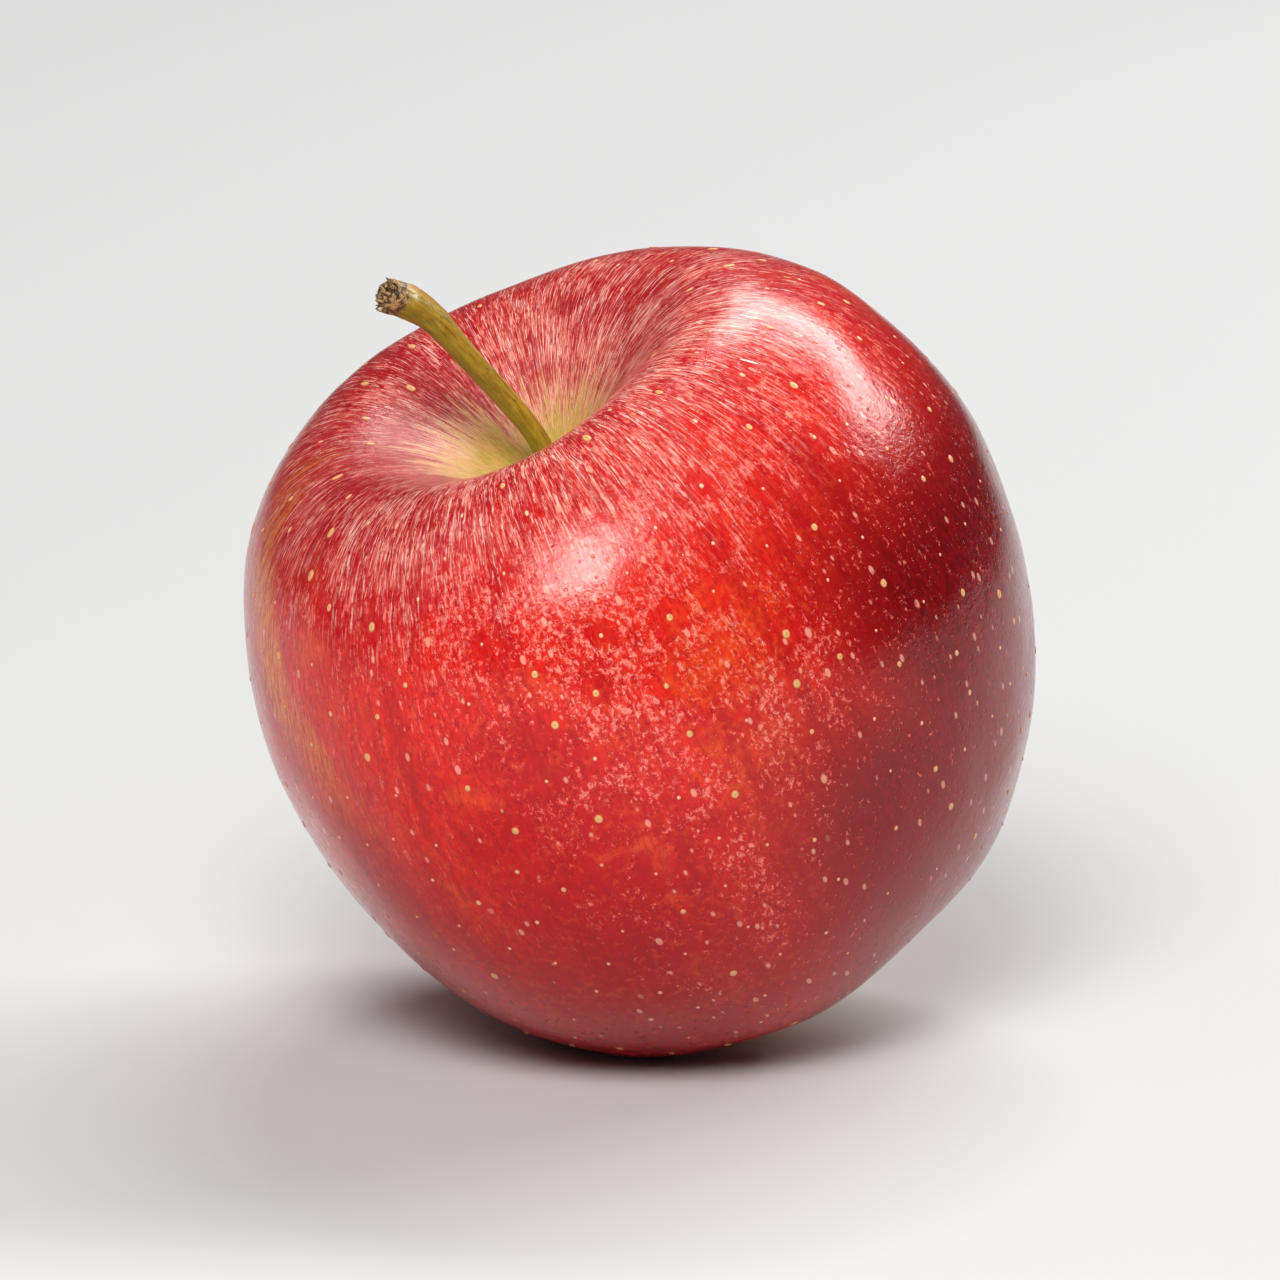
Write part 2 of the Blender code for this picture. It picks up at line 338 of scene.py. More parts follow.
    # Hair-fine scratches of pale and of dark skin, close together on the shoulder.
    strands = grain(stretched(flow, (1, 1, 0.24), (0.7, 0.2, 0)), 1650, 4, 0.74, 1.8)
    thinned = times(facing(172, 40, 44), -0.030)
    parting = plus(strands, swing(patches, -0.30), swing(clouds, -0.25), thinned)
    rim = ramp(plus(down, swing(fine_stripes, 30 * MM)), 40 * MM, 19 * MM)
    skin = tint(times(rim, ramp(parting, 0.535, 0.470), 0.85), skin, STRAND_DARK)
    pale_strand = tint(ramp(hairs, 0.42, 0.60), STRAND_PINK, STRAND_PALE)
    skin = tint(times(rim, ramp(parting, 0.545, 0.590), 0.85), skin, pale_strand)
    pale_hair = times(shoulder, ramp(hairs, 0.575, 0.63), ramp(freckle, 0.30, 0.52))
    skin = tint(times(pale_hair, 0.70), skin, HAIR_PALE)
    dark_hair = times(shoulder, ramp(hairs, 0.40, 0.34), ramp(freckle, 0.62, 0.45))
    skin = tint(times(dark_hair, 0.7), skin, HAIR_DARK)
    fold = maths("ABSOLUTE", less(grain(upright, 1500, 2, 0.5, 1.1), 0.5))
    squiggle = times(ramp(fold, 0.020, 0.006), ramp(density, 0.2, 0.5), without(shoulder))
    skin = tint(times(squiggle, 0.4), skin, MAROON)

    # Pin-prick dots too small for corky lenticels, drawn out along the meridians.
    pricks = add(tree, "ShaderNodeTexVoronoi", {
        "Vector": stretched(flow, (1, 1, 0.6)), "Scale": 640.0, "Randomness": 1.0})
    draw = add(tree, "ShaderNodeSeparateXYZ", {0: pricks.outputs["Color"]})
    reach = maths("MULTIPLY_ADD", draw.outputs["X"], 0.15, 0.03)
    prick = ramp(less(pricks.outputs["Distance"], reach), 0.06, -0.02)
    kept = plus(draw.outputs["Y"], times(facing(-20, 30, 30), 0.25))
    prick = times(prick, ramp(kept, 0.45, 0.55), ramp(down, 18 * MM, 30 * MM))
    skin = tint(times(prick, 0.7), skin, PRICK_PINK)

    # Pores pit the wax and are painted darker as shade in the pits, and one short scratch on the right
    # shoulder has dried white.
    wax_pores = add(tree, "ShaderNodeTexVoronoi", {"Vector": upright, "Scale": 1150.0, "Randomness": 1.0})
    pore_draw = add(tree, "ShaderNodeSeparateXYZ", {0: wax_pores.outputs["Color"]})
    pore_reach = maths("MULTIPLY_ADD", pore_draw.outputs["X"], 0.12, 0.10)
    pore = ramp(less(wax_pores.outputs["Distance"], pore_reach), 0.08, -0.04)
    pore = times(pore, ramp(pore_draw.outputs["Y"], 0.30, 0.40), without(shoulder), island)
    # Painted shade: the pores are darkened in their pits.
    skin = tint(times(pore, 0.38), skin, PORE_SHADE_RED)
    outward = (math.cos(SCRATCH_AZIMUTH), math.sin(SCRATCH_AZIMUTH), 0)
    scratch_place = (outward[0] * FRUIT_RADIUS, outward[1] * FRUIT_RADIUS, SCRATCH_DEPTH)
    off_scratch = turned_about(vectors("SUBTRACT", flow, scratch_place), outward, SCRATCH_TURN)
    per_width, per_length = 1 / SCRATCH_HALF_WIDTH, 1 / SCRATCH_HALF_LENGTH
    scratch = vectors("LENGTH", stretched(off_scratch, (per_width, per_width, per_length)))
    scratch = ramp(plus(scratch, swing(speckle, 1.2)), 1.15, 0.75)
    skin = tint(scratch, skin, SCRATCH_WHITE)

    # Painted shade: the rim is multiplied to a deeper red on the side that the fruit leans to.
    skin = tint(times(rim, facing(178, 42, 44), 0.6), skin, RIM_SHADE, "MULTIPLY")

    # The stem cavity: yellow-green to its wall, streaked with cream and red, and russet round the stem.
    far_side = times(facing(172, 26, 34), -3.2 * MM)
    wall = plus(down, swing(hairs, 10 * MM), swing(fine_stripes, 14 * MM), far_side)
    floor_share = ramp(wall, 9.4 * MM, 6.4 * MM)
    green = tint(ramp(grain(upright, 520, 3, 0.6), 0.40, 0.60), YELLOW_GREEN, CAVITY_GOLD)
    green = tint(ramp(down, 7.5 * MM, 11 * MM), green, CAVITY_TAN)
    green = tint(ramp(strokes, 0.52, 0.60, 0.0, 0.55), green, CAVITY_BROWN)
    green = tint(ramp(speckle, 0.55, 0.63, 0.0, 0.45), green, CAVITY_RUST)
    green = tint(ramp(hairs, 0.44, 0.38, 0.0, 0.5), green, CAVITY_STRAW)
    cream_edge = times(ramp(wall, 12.5 * MM, 8.5 * MM), 0.75)
    skin = tint(times(cream_edge, ramp(strokes, 0.42, 0.54)), skin, CREAM)
    skin = tint(floor_share, skin, green)
    red_run = times(ramp(strokes, 0.53, 0.60), ramp(down, 5.5 * MM, 8.5 * MM), floor_share)
    skin = tint(times(red_run, 0.65), skin, CAVITY_RED)
    russet = times(ramp(down, 6.0 * MM, 2.5 * MM), ramp(grain(flow, 1100, 3, 0.7), 0.42, 0.60))
    skin = tint(times(russet, 0.75), skin, RUSSET)

    # The calyx basin under the fruit keeps some of the ground's colour between red strokes.
    ragged = plus(down, swing(stripes, 16 * MM), swing(strokes, 14 * MM), swing(speckle, 8 * MM))
    basin = ramp(ragged, 103 * MM, 117 * MM)
    skin = tint(times(basin, 0.85), skin, BASIN_TAN)
    skin = tint(times(basin, ramp(down, 108 * MM, 118 * MM), 0.8), skin, BASIN_GREEN)
    skin = tint(times(ramp(down, 117 * MM, 121 * MM), 0.8), skin, RUSSET)

    tree.links.new(skin, shader.inputs["Base Color"])
    rough = plus(ramp(freckle, 0.3, 0.7, 0.11, 0.21), times(fleck, 0.03), times(floor_share, 0.15),
                 ramp(down, 24 * MM, 13 * MM, 0.0, 0.28))
    tree.links.new(rough, shader.inputs["Roughness"])

    pores = grain(upright, 4200, 2, 0.6)
    relief = plus(times(pores, 0.5), times(torn, 0.6), times(shoulder, hairs, 0.9), times(pore, -1.6),
                  times(russet, grain(flow, 2600, 2, 0.7), 2.0))
    uneven = bump(freckle, 0.045 * MM, Normal=bump(relief, 0.026 * MM))
    tree.links.new(uneven, shader.inputs["Normal"])
    tree.links.new(uneven, shader.inputs["Coat Normal"])
    return material


# ---- Lenticels' finish ------------------------------------------------------------------------------------
# A lenticel is a pore plugged with cork. It shows as a cream or golden dot with a tan ring, and some have a
# darker mouth. It lies under the same wax as the skin, and stands up by a hair's breadth.

CORK_CREAM = (0.82, 0.52, 0.31)
CORK_GOLD = (0.74, 0.42, 0.15)
CORK_RING = (0.62, 0.17, 0.06)
CORK_MOUTH = (0.42, 0.20, 0.07)
YOUNG_CORK = (0.76, 0.28, 0.17)


def lenticel_material():
    material, tree, shader = new_material(
        "lenticel", Roughness=0.38, IOR=1.45, Coat_Weight=0.3, Coat_Roughness=0.2)
    off_centre = stored(tree, "dot", "Fac")
    own = stored(tree, "chance", "Fac")
    cork = tint(ramp(own, 0.45, 0.60), CORK_CREAM, CORK_GOLD)
    dot = tint(ramp(off_centre, 0.62, 0.95), cork, CORK_RING)
    mouth = times(ramp(off_centre, 0.34, 0.16), ramp(own, 0.62, 0.75))
    dot = tint(times(mouth, 0.65), dot, CORK_MOUTH)
    dot = tint(ramp(own, 0.1, 0.35, 0.45, 0.0), dot, YOUNG_CORK)
    tree.links.new(dot, shader.inputs["Base Color"])
    return material


# ---- Fruit ------------------------------------------------------------------------------------------------
# The flesh and its skin grew as one piece around the core. The outline turns round a leaning axis, and is
# pulled out of round by uneven growth, by five lobes under it and by the spot that it came to rest on.

FRUIT_HEIGHT = 65.3 * MM
FRUIT_OUTLINE = (
    (0.000, 0.811),
    (0.097, 0.844),
    (0.202, 0.904),
    (0.350, 0.970),
    (0.524, 1.000),
    (0.712, 0.962),
    (0.890, 0.846),
    (1.000, 0.653),
    (0.995, 0.443),
    (0.887, 0.243),
    (0.699, 0.089),
    (0.524, 0.017),
    (0.390, 0.000),
    (0.255, 0.039),
    (0.134, 0.093),
    (0.000, 0.108),
)
LEAN = math.radians(27.4)
LEAN_AZIMUTH = math.radians(208.4)
LOBE_AZIMUTH = math.radians(62)


def smooth_line(points, count):
    """Evenly spaced points on a Catmull-Rom curve through the given ones."""
    knots = np.asarray(points, dtype=float)
    before = 2 * knots[0] - knots[1]
    after = 2 * knots[-1] - knots[-2]
    knots = np.vstack([before, knots, after])
    steps = np.linspace(0, 1, 24, endpoint=False)[:, None]
    spans = []
    for a, b, c, d in zip(knots, knots[1:], knots[2:], knots[3:]):
        spans.append(0.5 * (2 * b + (c - a) * steps + (2 * a - 5 * b + 4 * c - d) * steps**2
                            + (3 * b - a - 3 * c + d) * steps**3))
    line = np.vstack(spans + [knots[-2][None]])
    lengths = np.linalg.norm(np.diff(line, axis=0), axis=1)
    travelled = np.concatenate([[0], np.cumsum(lengths)])
    wanted = np.linspace(0, travelled[-1], count)
    return np.stack([np.interp(wanted, travelled, column) for column in line.T], axis=1)


def outline_guide():
    """The outline as a curve in the XZ plane, level where it crosses the axis at both ends."""
    points = [(radius * FRUIT_RADIUS, height * FRUIT_HEIGHT) for radius, height in FRUIT_OUTLINE]
    mirrored_start = (-points[1][0], points[1][1])
    mirrored_end = (-points[-2][0], points[-2][1])
    line = smooth_line([mirrored_start, *points, mirrored_end], 1200)
    inside = line[line[:, 0] >= 0]
    curve = bpy.data.curves.new("apple_outline", "CURVE")
    curve.dimensions = "3D"
    spline = curve.splines.new("POLY")
    spline.points.add(len(inside) - 1)
    for point, (radius, height) in zip(spline.points, inside):
        point.co = (radius, 0, height, 1)
    spline.points[0].co.x = 0
    spline.points[-1].co.x = 0
    guide = bpy.data.objects.new("apple_outline", curve)
    bpy.context.scene.collection.objects.link(guide)
    return guide


def new_geometry_tree(name, inputs):
    """A Geometry Nodes tree with the named inputs, then its input and output nodes."""
    tree = bpy.data.node_groups.new(name, "GeometryNodeTree")
    tree.interface.new_socket("Geometry", in_out="INPUT", socket_type="NodeSocketGeometry")
    for label, kind in inputs.items():
        tree.interface.new_socket(label, in_out="INPUT", socket_type=f"NodeSocket{kind}")
    tree.interface.new_socket("Geometry", in_out="OUTPUT", socket_type="NodeSocketGeometry")
    return tree, tree.nodes.new("NodeGroupInput"), tree.nodes.new("NodeGroupOutput")


def grow(name, tree, values):
    """The tree's result as a plain mesh, with the object and the modifier that made it gone."""
    seedbed = bpy.data.objects.new(f"{name}_growing", bpy.data.meshes.new(name))
    bpy.context.scene.collection.objects.link(seedbed)
    growth = seedbed.modifiers.new("growth", "NODES")
    growth.node_group = tree
    for item in tree.interface.items_tree:
        if item.in_out == "INPUT" and item.name in values:
            growth[item.identifier] = values[item.name]
    depsgraph = bpy.context.evaluated_depsgraph_get()
    mesh = bpy.data.meshes.new_from_object(seedbed.evaluated_get(depsgraph))
    mesh.name = name
    bpy.data.objects.remove(seedbed)
    return mesh


def store(geometry, name, value, kind="FLOAT_VECTOR"):
    return add(home(geometry), "GeometryNodeStoreNamedAttribute", {
        "Geometry": geometry, "Name": name, "Value": value}, data_type=kind, domain="POINT").outputs[0]


def recall(tree, name, kind="FLOAT_VECTOR"):
    return add(tree, "GeometryNodeInputNamedAttribute", {"Name": name}, data_type=kind).outputs[0]


def changed(geometry, node, **inputs):
    """The geometry as it leaves a node, which takes the other inputs with underscores for spaces."""
    inputs = {key.replace("_", " "): value for key, value in inputs.items()}
    return add(home(geometry), f"GeometryNode{node}", {0: geometry, **inputs}).outputs[0]


def joined(*geometries):
    join = home(*geometries).nodes.new("GeometryNodeJoinGeometry")
    for geometry in geometries:
        home(geometry).links.new(geometry, join.inputs[0])
    return join.outputs[0]


def rotated(vector, rotation):
    inputs = {"Vector": vector, "Rotation": rotation}
    return add(home(rotation), "FunctionNodeRotateVector", inputs).outputs[0]


def fruit_tree():
    tree, given, result = new_geometry_tree("apple_fruit", {
        "Outline": "Object", "Segments": "Int", "Rings": "Int", "Radius": "Float", "Height": "Float",
        "Oval Share": "Float", "Oval Azimuth": "Float", "Rib Share": "Float", "Rib Azimuth": "Float",
        "Lobe Azimuth": "Float", "Valley Depth": "Float", "Crown Radius": "Float", "Crown Width": "Float",
        "Unevenness": "Float", "Lean": "Float", "Lean Azimuth": "Float", "Seat": "Vector", "Table": "Float",
        "Lenticel Spacing": "Float", "Lenticel Size": "Float", "Lenticel Height": "Float", "Seed": "Int",
        "Skin": "Material", "Lenticel": "Material"})
    value = given.outputs
    position = tree.nodes.new("GeometryNodeInputPosition").outputs[0]

    def wave(count, start):
        return maths("COSINE", times(less(azimuth, start), count))

    # A ball whose rings are laid along the outline, spread by the waves of the cross-section.
    ball = add(tree, "GeometryNodeMeshUVSphere", {
        "Segments": value["Segments"], "Rings": value["Rings"], "Radius": 1.0})
    azimuth = maths("ARCTAN2", part(position, "Y"), part(position, "X"))
    polar = maths("ARCCOSINE", maths("MAXIMUM", maths("MINIMUM", part(position, "Z"), 1.0), -1.0))
    down = maths("DIVIDE", polar, math.pi)
    outline = add(tree, "GeometryNodeObjectInfo", {"Object": value["Outline"]}).outputs["Geometry"]
    station = add(tree, "GeometryNodeSampleCurve", {"Curves": outline, "Factor": down}, use_all_curves=True)
    radius, height = (part(station.outputs["Position"], axis) for axis in "XZ")
    spread = maths("MULTIPLY_ADD", wave(2, value["Oval Azimuth"]), value["Oval Share"], 1.0)
    spread = maths("MULTIPLY_ADD", wave(3, value["Rib Azimuth"]), value["Rib Share"], spread)
    between_lobes = maths("MULTIPLY_ADD", wave(5, value["Lobe Azimuth"]), -0.5, 0.5)
    off_crown = maths("DIVIDE", less(radius, value["Crown Radius"]), value["Crown Width"])
    crown = maths("EXPONENT", times(times(off_crown, off_crown), -1.0))
    low = without(maths("DIVIDE", times(height, 2.0), value["Height"]))
    valley = times(times(between_lobes, crown), times(low, value["Valley Depth"]))
    around = compose(X=maths("COSINE", azimuth), Y=maths("SINE", azimuth))
    upright = vectors("ADD", scaled(around, times(radius, spread)), compose(Z=plus(height, valley)))

    # The skin's own coordinates: round the fruit, and along the outline from the stem cavity down.
    length = add(tree, "GeometryNodeCurveLength", {0: outline}).outputs[0]
    flow = vectors("ADD", scaled(around, value["Radius"]), compose(Z=times(down, length)))
    across, steep = (part(station.outputs["Tangent"], axis) for axis in "XZ")
    meridian = vectors("ADD", scaled(around, across), compose(Z=steep))
    skin = store(ball.outputs["Mesh"], "flow", flow)
    skin = store(skin, "meridian", meridian)
    skin = store(skin, "upright", upright)
    skin = changed(skin, "SetPosition", Position=recall(tree, "upright"))

    # Uneven growth swells and sinks the skin a little, in broad cells and in smaller ones.
    swell = grain(recall(tree, "upright"), 60.0, 1.0)
    ripple = grain(recall(tree, "upright"), 260.0)
    lift = plus(less(swell, 0.5), swing(ripple, 0.12))
    outward = tree.nodes.new("GeometryNodeInputNormal").outputs[0]
    skin = changed(skin, "SetPosition", Offset=scaled(outward, times(lift, value["Unevenness"])))

    # The fruit leans, stands on its seat and goes flat where it meets the table.
    side = plus(value["Lean Azimuth"], math.pi / 2)
    hinge = compose(X=maths("COSINE", side), Y=maths("SINE", side))
    lean = add(tree, "FunctionNodeAxisAngleToRotation", {"Axis": hinge, "Angle": value["Lean"]}).outputs[0]
    seated = vectors("ADD", rotated(position, lean), value["Seat"])
    above = less(part(seated, "Z"), value["Table"])
    softness = 0.25 * MM
    pressed = times(plus(above, maths("SQRT", maths("MULTIPLY_ADD", above, above, softness**2))), 0.5)
    rested = compose(X=part(seated, "X"), Y=part(seated, "Y"), Z=plus(value["Table"], pressed))
    skin = changed(skin, "SetPosition", Position=rested)

    # Lenticels: corky dots set apart from each other, longer near the stem cavity. None is inside it, in the
    # calyx basin or where the fruit rests.
    depth = part(recall(tree, "flow"), "Z")
    clearance = less(part(position, "Z"), value["Table"])
    open_skin = times(ramp(depth, 15 * MM, 24 * MM), ramp(depth, 116 * MM, 104 * MM),
                      ramp(clearance, 0.3 * MM, 0.8 * MM))
    scattered = add(tree, "GeometryNodeDistributePointsOnFaces", {
        "Mesh": skin, "Distance Min": value["Lenticel Spacing"], "Density Max": 90000.0,
        "Density Factor": open_skin, "Seed": value["Seed"]}, distribute_method="POISSON")
    lengthwise = rotated(recall(tree, "meridian"), lean)
    turned = add(tree, "FunctionNodeAxesToRotation", {
        "Primary Axis": scattered.outputs["Normal"], "Secondary Axis": lengthwise},
        primary_axis="Z", secondary_axis="Y")
    chance = add(tree, "FunctionNodeRandomValue", {
        "Min": 0.0, "Max": 1.0, "Seed": value["Seed"]}, data_type="FLOAT").outputs[1]
    points = store(scattered.outputs["Points"], "chance", chance, "FLOAT")
    own = recall(tree, "chance", "FLOAT")
    width = times(value["Lenticel Size"], maths("MULTIPLY_ADD", maths("POWER", own, 2.0), 0.8, 0.42))
    longer = maths("MULTIPLY_ADD", ramp(depth, 44 * MM, 20 * MM), 0.8, 1.1)
    size = compose(X=width, Y=times(width, longer), Z=value["Lenticel Height"])
    bead = add(tree, "GeometryNodeMeshIcoSphere", {"Radius": 1.0, "Subdivisions": 2}).outputs["Mesh"]
    bead = store(bead, "dot", vectors("LENGTH", vectors("MULTIPLY", position, (1, 1, 0))), "FLOAT")
    beads = changed(points, "InstanceOnPoints", Instance=bead, Rotation=turned.outputs[0], Scale=size)
    beads = changed(beads, "RealizeInstances")
    beads = changed(beads, "SetMaterial", Material=value["Lenticel"])

    near = add(tree, "GeometryNodeProximity", {0: scattered.outputs["Points"]}, target_element="POINTS")
    skin = store(skin, "from_lenticel", near.outputs["Distance"], "FLOAT")
    skin = changed(skin, "SetMaterial", Material=value["Skin"])
    tree.links.new(changed(joined(beads, skin), "SetShadeSmooth", Shade_Smooth=True), result.inputs[0])
    return tree


def new_piece(name, mesh, node_names):
    """A finished piece that stands for CAD nodes and moves with the fruit."""
    piece = bpy.data.objects.new(name, mesh)
    bpy.context.scene.collection.objects.link(piece)
    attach(piece, "root")
    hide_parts(*node_names)
    return piece


guide = outline_guide()
growing = fruit_tree()
fruit_values = {
    "Outline": guide, "Segments": 72, "Rings": 48, "Radius": FRUIT_RADIUS, "Height": FRUIT_HEIGHT,
    "Oval Share": 0.013, "Oval Azimuth": math.radians(52),
    "Rib Share": 0.031, "Rib Azimuth": math.radians(15),
    "Lobe Azimuth": LOBE_AZIMUTH, "Valley Depth": 1.1 * MM,
    "Crown Radius": 0.42 * FRUIT_RADIUS, "Crown Width": 0.20 * FRUIT_RADIUS,
    "Unevenness": 0.0, "Lean": LEAN, "Lean Azimuth": LEAN_AZIMUTH, "Seat": (0.0, 0.0, 0.0), "Table": -1.0,
    "Lenticel Spacing": 4.4 * MM, "Lenticel Size": 0.36 * MM, "Lenticel Height": 0.08 * MM, "Seed": 11,
    "Skin": skin_material(), "Lenticel": lenticel_material()}

# A coarse fruit, leaning over no table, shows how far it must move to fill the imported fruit's box.
trial = grow("fruit_trial", growing, fruit_values)
corners = np.array([vertex.co for vertex in trial.vertices])
bpy.data.meshes.remove(trial)
low_corner, high_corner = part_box("fruit")
seat = Vector((
    (low_corner.x + high_corner.x - corners[:, 0].min() - corners[:, 0].max()) / 2,
    (low_corner.y + high_corner.y - corners[:, 1].min() - corners[:, 1].max()) / 2,
    high_corner.z - corners[:, 2].max()))
hinge_axis = Vector((-math.sin(LEAN_AZIMUTH), math.cos(LEAN_AZIMUTH), 0))
from_axis = Matrix.Translation(seat) @ Matrix.Rotation(LEAN, 4, hinge_axis)
fruit_values.update({
    "Segments": 336, "Rings": 224, "Unevenness": 0.9 * MM, "Seat": tuple(seat), "Table": low_corner.z})
fruit_mesh = grow("fruit_skin", growing, fruit_values)
new_piece("fruit_skin", fruit_mesh, ["fruit"])
bpy.data.objects.remove(guide)


# ---- Stem -------------------------------------------------------------------------------------------------
# The woody stalk that fed the fruit. It runs golden green and ridged out of the cavity, browned by the sun
# along one side, thickens where it joined the spur, and ends in the corky, ragged face where it broke off.
# The browned side is also painted brighter as a highlight, and the other side is painted darker as shade.

STEM_ROUTE = (
    (0.3, 0.0, 51.0, 1.06),
    (0.3, 0.0, 54.5, 1.02),
    (0.2, 0.0, 59.5, 0.98),
    (-0.7, -0.1, 64.1, 1.04),
    (-1.8, -0.6, 68.9, 1.12),
    (-3.1, -1.3, 74.4, 1.30),
    (-4.4, -2.2, 77.7, 1.62),
    (-5.8, -3.2, 79.8, 1.95),
)
STEM_SIDES = 40
STEM_STATIONS = 130
COLLAR_HEIGHT = 2.6 * MM
TORN_LENGTH = 2.4 * MM
TORN_FIBRES = 22
BARK_DARK = (0.24, 0.150, 0.008)
BARK_GOLD = (0.46, 0.310, 0.020)
BARK_GREEN = (0.40, 0.31, 0.03)
BARK_SUNNED_AND_LIT = (0.50, 0.185, 0.014)
BARK_SHADED = (0.20, 0.19, 0.010)
BARK_CELLS = (0.62, 0.47, 0.14)
BARK_FOOT = (0.46, 0.36, 0.035)
BARK_SPECKS = (0.13, 0.065, 0.012)
BREAK_DARK = (0.060, 0.024, 0.008)
BREAK_PALE = (0.52, 0.30, 0.115)


def stem_frames():
    """Along the route: the place, the radius, the distance travelled and two directions across the stalk."""
    route = smooth_line(STEM_ROUTE, STEM_STATIONS) * MM
    places = [Vector(row[:3]) for row in route]
    travelled = 0.0
    for index, place in enumerate(places):
        before, after = places[max(index - 1, 0)], places[min(index + 1, len(places) - 1)]
        heading = (after - before).normalized()
        across = heading.cross(Vector((0, 1, 0))).normalized()
        if index:
            travelled += (place - places[index - 1]).length
        yield place, route[index][3], travelled, heading, across, heading.cross(across)


def settled(grown, name):
    """A shape built along the fruit's own axis, as a smooth mesh where the leaning fruit has it."""
    bmesh.ops.recalc_face_normals(grown, faces=grown.faces)
    grown.transform(from_axis)
    mesh = bpy.data.meshes.new(name)
    grown.to_mesh(mesh)
    grown.free()
    mesh.shade_smooth()
    return mesh


def stem_mesh():
    grown = bmesh.new()
    flow = grown.verts.layers.float_vector.new("flow")
    cork = grown.verts.layers.float.new("cork")
    frames = list(stem_frames())
    length = frames[-1][2]

    def knobbly(place, cells, seed):
        return noise.noise(place * cells + Vector((seed, 0, 0)))

    rings = []
    for place, radius, travelled, heading, across, upward in frames:
        torn = max(0.0, 1 - (length - travelled) / TORN_LENGTH)
        collar = 0.42 * math.exp(-(((travelled - 1.6 * MM) / COLLAR_HEIGHT) ** 2))
        knot = math.exp(-(((length - travelled - 6.5 * MM) / (1.5 * MM)) ** 2))
        ring = []
        for side in range(STEM_SIDES):
            turn = math.tau * side / STEM_SIDES
            outward = across * math.cos(turn) + upward * math.sin(turn)
            twist = turn + travelled * 60
            ridges = (0.045 * math.cos(5 * twist) + 0.03 * math.cos(3 * twist + 1.3)
                      + 0.018 * math.cos(11 * turn))
            along_bark = Vector((math.cos(turn), math.sin(turn), travelled * 170))
            bark = 0.055 * noise.noise(along_bark * 1.7) + 0.03 * noise.noise(along_bark * 4.1)
            creases = 0.035 * collar * math.sin(travelled * 9000)
            swelling = 0.16 * knot * max(0.0, math.cos(turn - 2.2))
            tears = 0.22 * knobbly(outward * 1.2, 1.6, 3.7) + 0.12 * knobbly(outward * 2.5, 2.3, 8.1)
            reach = radius * (1 + collar + ridges + bark + creases + swelling + torn * tears - 0.24 * torn)
            slip = torn**2 * 1.1 * MM * knobbly(outward * 1.4, 1.5, 5.5)
            vertex = grown.verts.new(place + outward * reach + heading * slip)
            vertex[flow] = (math.cos(turn) * MM, math.sin(turn) * MM, travelled)
            vertex[cork] = min(1.0, 1.25 * torn)
            ring.append(vertex)
        rings.append(ring)

    # The broken face sinks to a pithy middle, with its wood torn into lumps.
    place, radius, travelled, heading, across, upward = frames[-1]
    for step in range(1, 7):
        share = 1 - step / 7
        ring = []
        for side, rim in enumerate(rings[STEM_STATIONS - 1]):
            turn = math.tau * side / STEM_SIDES
            inward = place + (rim.co - place) * share
            off_middle = (inward - place) / MM
            lump = 0.42 * MM * knobbly(off_middle, 1.3, 2.2) + 0.2 * MM * knobbly(off_middle, 3.1, 6.0)
            vertex = grown.verts.new(inward + heading * (lump - 0.75 * MM * (1 - share**2)))
            spoke = share * MM
            vertex[flow] = (math.cos(turn) * spoke, math.sin(turn) * spoke, travelled + MM - spoke)
            vertex[cork] = 1.0
            ring.append(vertex)
        rings.append(ring)
    for lower, upper in zip(rings, rings[1:]):
        for side in range(STEM_SIDES):
            beside = (side + 1) % STEM_SIDES
            grown.faces.new((lower[side], lower[beside], upper[beside], upper[side]))
    grown.faces.new(list(reversed(rings[0])))
    grown.faces.new(rings[-1])

    # Torn fibres stand round the rim of the break.
    dice = np.random.default_rng(4)
    for fibre in range(TORN_FIBRES):
        turn = math.tau * (fibre + dice.uniform(-0.4, 0.4)) / TORN_FIBRES
        outward = across * math.cos(turn) + upward * math.sin(turn)
        beside = heading.cross(outward)
        root = place + outward * radius * dice.uniform(0.35, 0.74) - heading * 0.7 * MM
        reach, width = dice.uniform(0.7, 1.25) * MM, dice.uniform(0.22, 0.45) * MM
        splay = dice.uniform(-0.15, 0.55)
        before = None
        for step in range(5):
            share = step / 4
            centre = root + heading * reach * share + outward * splay * reach * share**1.6
            half = width * (1 - share**3) + 0.02 * MM
            corners = [centre + beside * half, centre + outward * half * 0.6, centre - beside * half,
                       centre - outward * half * 0.6]
            ring = [grown.verts.new(corner) for corner in corners]
            for vertex in ring:
                vertex[flow] = (math.cos(turn) * MM, math.sin(turn) * MM, travelled + share * MM)
                vertex[cork] = 0.75 + 0.5 * share
            if before:
                for side in range(4):
                    grown.faces.new((before[side], before[(side + 1) % 4], ring[(side + 1) % 4], ring[side]))
            else:
                grown.faces.new(list(reversed(ring)))
            before = ring
        grown.faces.new(before)

    return settled(grown, "stem_bark")


